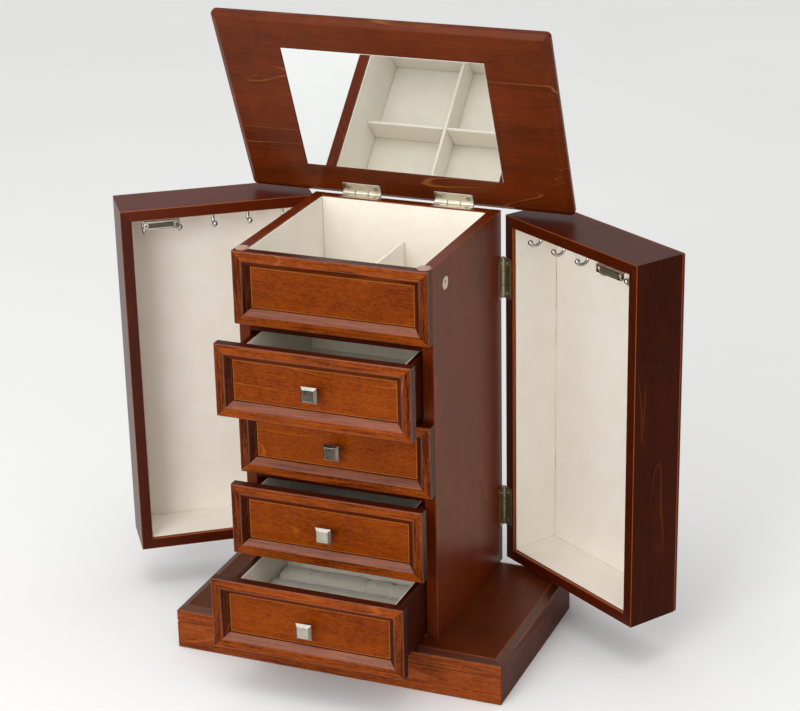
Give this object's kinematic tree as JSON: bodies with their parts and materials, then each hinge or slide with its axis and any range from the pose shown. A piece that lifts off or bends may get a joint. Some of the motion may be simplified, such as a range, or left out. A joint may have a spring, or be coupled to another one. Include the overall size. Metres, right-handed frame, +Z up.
{
  "type": "jewelry armoire",
  "caption": "Countertop jewelry armoire with a mirrored lid over a divided compartment, stacked small drawers, and deep side doors that hold necklaces on hooks.",
  "frame": {"origin": "centre of the base's underside, on the surface it stands on", "axes": "+X to the right seen from the front, +Y to the back, +Z up"},
  "size_m": [0.5339, 0.299, 0.5566],
  "materials": {
    "case_wood": "satin lacquer over red-brown stain, open straight grain",
    "frame_wood": "satin lacquer over red-brown stain, open straight grain",
    "panel_wood": "satin lacquer over orange-brown veneer",
    "drawer_wood": "dark stain, low sheen",
    "cream_lining": "short-pile cream velour",
    "drawer_lining": "short-pile grey-cream velour",
    "ring_velvet": "padded grey-cream velour rolls",
    "mirror": "plain silvered glass",
    "hinge_nickel": "nickel plate, lightly brushed",
    "hook_chrome": "bright plate",
    "knob_pewter": "satin pewter plate",
    "strike_steel": "bright steel",
    "bumper_felt": "pressed felt"
  },
  "bodies": {
    "cabinet": {"base": "case_wood", "back_panel": "case_wood", "drawer_shelf_1": "drawer_wood", "drawer_shelf_2": "drawer_wood", "drawer_shelf_3": "drawer_wood", "compartment_floor": "drawer_wood", "compartment_insert": "cream_lining", "top_front_frame": "frame_wood", "top_front_panel": "panel_wood", "left_side": "case_wood", "left_strike_disc": "strike_steel", "left_lid_bumper": "bumper_felt", "left_lid_hinge_fixed_leaf": "hinge_nickel", "left_door_upper_hinge_fixed_leaf": "hinge_nickel", "left_door_lower_hinge_fixed_leaf": "hinge_nickel", "right_side": "case_wood", "right_strike_disc": "strike_steel", "right_lid_bumper": "bumper_felt", "right_lid_hinge_fixed_leaf": "hinge_nickel", "right_door_upper_hinge_fixed_leaf": "hinge_nickel", "right_door_lower_hinge_fixed_leaf": "hinge_nickel"},
    "lid": {"lid_board": "case_wood", "lid_mirror": "mirror", "left_lid_hinge_moving_leaf": "hinge_nickel", "right_lid_hinge_moving_leaf": "hinge_nickel"},
    "left_door": {"left_door_frame": "case_wood", "left_door_panel": "case_wood", "left_door_lining": "cream_lining", "left_hook_rail": "hook_chrome", "left_magnet_catch": "strike_steel", "left_door_upper_hinge_moving_leaf": "hinge_nickel", "left_door_lower_hinge_moving_leaf": "hinge_nickel"},
    "right_door": {"right_door_frame": "case_wood", "right_door_panel": "case_wood", "right_door_lining": "cream_lining", "right_hook_rail": "hook_chrome", "right_magnet_catch": "strike_steel", "right_door_upper_hinge_moving_leaf": "hinge_nickel", "right_door_lower_hinge_moving_leaf": "hinge_nickel"},
    "drawer_1": {"drawer_1_front_frame": "frame_wood", "drawer_1_front_panel": "panel_wood", "drawer_1_box": "drawer_wood", "drawer_1_lining": "drawer_lining", "drawer_1_knob": "knob_pewter"},
    "drawer_2": {"drawer_2_front_frame": "frame_wood", "drawer_2_front_panel": "panel_wood", "drawer_2_box": "drawer_wood", "drawer_2_lining": "drawer_lining", "drawer_2_knob": "knob_pewter"},
    "drawer_3": {"drawer_3_front_frame": "frame_wood", "drawer_3_front_panel": "panel_wood", "drawer_3_box": "drawer_wood", "drawer_3_lining": "drawer_lining", "drawer_3_knob": "knob_pewter"},
    "drawer_4": {"drawer_4_front_frame": "frame_wood", "drawer_4_front_panel": "panel_wood", "drawer_4_box": "drawer_wood", "drawer_4_lining": "drawer_lining", "drawer_4_knob": "knob_pewter", "ring_cushion": "ring_velvet"}
  },
  "joints": [
    {"name": "lid_hinge", "type": "hinge", "parent": "cabinet", "child": "lid", "pos_m": [0, 0.0968, 0.3812], "axis": [-1, 0, 0], "range_deg": [-67.8, 27.2]},
    {"name": "left_door_hinge", "type": "hinge", "parent": "cabinet", "child": "left_door", "pos_m": [-0.0894, 0.0965, 0.209], "axis": [0, 0, -1], "range_deg": [-54.5, 125.5]},
    {"name": "right_door_hinge", "type": "hinge", "parent": "cabinet", "child": "right_door", "pos_m": [0.0894, 0.0965, 0.209], "axis": [0, 0, 1], "range_deg": [-57.3, 122.7]},
    {"name": "drawer_1_slide", "type": "slide", "parent": "cabinet", "child": "drawer_1", "axis": [0, -1, 0], "range_m": [-0.041, 0.079]},
    {"name": "drawer_2_slide", "type": "slide", "parent": "cabinet", "child": "drawer_2", "axis": [0, -1, 0], "range_m": [-0.0012, 0.1188]},
    {"name": "drawer_3_slide", "type": "slide", "parent": "cabinet", "child": "drawer_3", "axis": [0, -1, 0], "range_m": [-0.0228, 0.0972]},
    {"name": "drawer_4_slide", "type": "slide", "parent": "cabinet", "child": "drawer_4", "axis": [0, -1, 0], "range_m": [-0.0691, 0.0509]}
  ]
}
